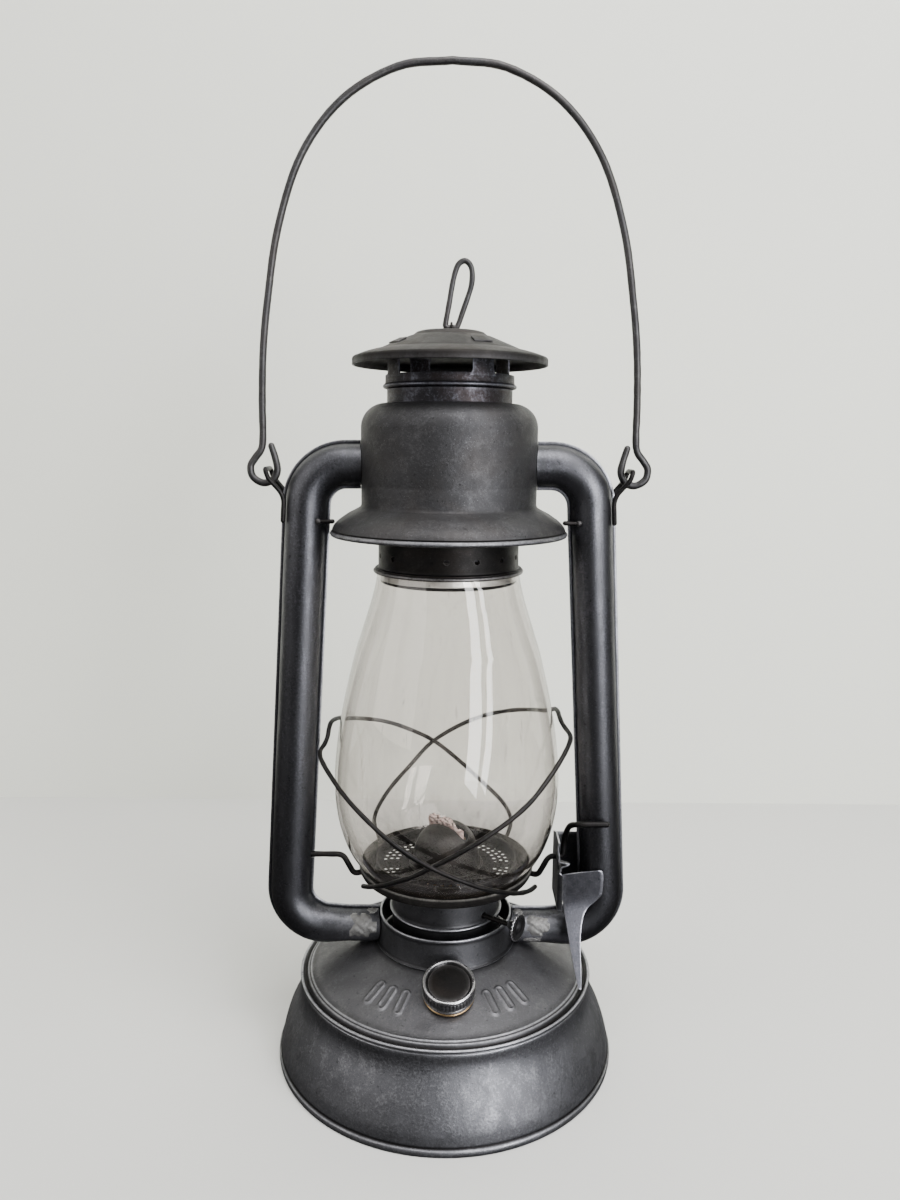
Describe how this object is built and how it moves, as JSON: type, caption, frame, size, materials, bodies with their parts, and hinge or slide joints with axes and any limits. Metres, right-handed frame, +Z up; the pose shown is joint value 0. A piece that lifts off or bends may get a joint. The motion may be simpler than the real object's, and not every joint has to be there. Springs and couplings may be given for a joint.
{
  "type": "barn lantern",
  "caption": "Cold-blast barn lantern: round fount, two side tubes, canopy, sprung chimney, pear globe with crossed guard wires, lift crank, burner and wire bail.",
  "frame": {"origin": "centre of the foot ring, on the plane it stands on", "axes": "+Z up the lantern's axis, side tubes along +X and -X, filler cap towards -Y, lift crank's finger grip on +X"},
  "size_m": [0.1984, 0.1766, 0.4938],
  "materials": {
    "aged_steel": "old bare tinplate gone dark graphite grey, mottled, worn brighter on edges",
    "dark_steel": "sooty dark steel",
    "wire": "dark brown-black steel wire",
    "brass": "tarnished",
    "glass": "clear, slightly sooty at the bottom",
    "wick": "woven cotton, charred top",
    "gasket": "matte"
  },
  "bodies": {
    "frame": {"fount_skirt": "aged_steel", "fount_bottom": "dark_steel", "fount_top": "aged_steel", "air_chamber": "aged_steel", "filler_neck": "brass", "left_tube_front": "aged_steel", "left_tube_rear": "aged_steel", "right_tube_front": "aged_steel", "right_tube_rear": "aged_steel", "canopy": "aged_steel", "left_stay_wire": "wire", "right_stay_wire": "wire", "left_bail_ear": "wire", "right_bail_ear": "wire", "lift_bracket": "aged_steel", "burner_cup": "aged_steel", "wick_tube": "brass", "chimney_spring": "wire"},
    "bail": {"bail": "wire"},
    "lift_crank": {"lift_crank": "wire"},
    "globe_carriage": {"globe_plate": "dark_steel", "globe": "glass", "guard_wire_left": "wire", "guard_wire_right": "wire", "burner_cone": "dark_steel"},
    "chimney": {"globe_cap": "dark_steel", "inner_chimney": "dark_steel", "crown_frame": "aged_steel", "crown_hood": "aged_steel", "ring_staple": "wire"},
    "lift_ring": {"lift_ring": "wire"},
    "cap_seal": {"cap_gasket": "gasket"},
    "filler_cap": {"filler_cap": "aged_steel"},
    "wick_winder": {"wick_shaft": "brass", "wick_knob": "brass"},
    "wick": {"wick": "wick"}
  },
  "joints": [
    {"name": "bail_swing", "type": "hinge", "parent": "frame", "child": "bail", "pos_m": [0, 0, 0.3027], "axis": [1, 0, 0], "range_deg": [-78, 78]},
    {"name": "crank_turn", "type": "hinge", "parent": "frame", "child": "lift_crank", "pos_m": [0, 0, 0.1054], "axis": [1, 0, 0], "range_deg": [0, 65]},
    {"name": "globe_lift", "type": "slide", "parent": "frame", "child": "globe_carriage", "axis": [0, 0, 1], "range_m": [0, 0.017]},
    {"name": "chimney_lift", "type": "slide", "parent": "globe_carriage", "child": "chimney", "axis": [0, 0, 1], "range_m": [0, 0.022], "deforming": ["chimney_spring"]},
    {"name": "ring_fold", "type": "hinge", "parent": "chimney", "child": "lift_ring", "pos_m": [0, 0, 0.3735], "axis": [1, 0, 0], "range_deg": [-75, 75]},
    {"name": "cap_rise", "type": "slide", "parent": "frame", "child": "cap_seal", "axis": [0, -0.3584, 0.9336], "range_m": [0, 0.005]},
    {"name": "cap_turn", "type": "hinge", "parent": "cap_seal", "child": "filler_cap", "pos_m": [0.002, -0.048, 0.05523], "axis": [0, -0.3584, 0.9336], "range_deg": [0, 810]},
    {"name": "wick_turn", "type": "hinge", "parent": "frame", "child": "wick_winder", "pos_m": [-0.00298, -0.00426, 0.082], "axis": [0.8192, -0.5736, 0], "range_deg": [-114, 57]},
    {"name": "wick_rise", "type": "slide", "parent": "frame", "child": "wick", "axis": [0, 0, 1], "range_m": [-0.0041, 0.0081]}
  ],
  "couplings": [
    {"joint": "crank_turn", "follows": "globe_lift", "rad_per_m": 66.7},
    {"joint": "cap_rise", "follows": "cap_turn", "m_per_rad": 0.000352},
    {"joint": "wick_rise", "follows": "wick_turn", "m_per_rad": -0.004}
  ]
}
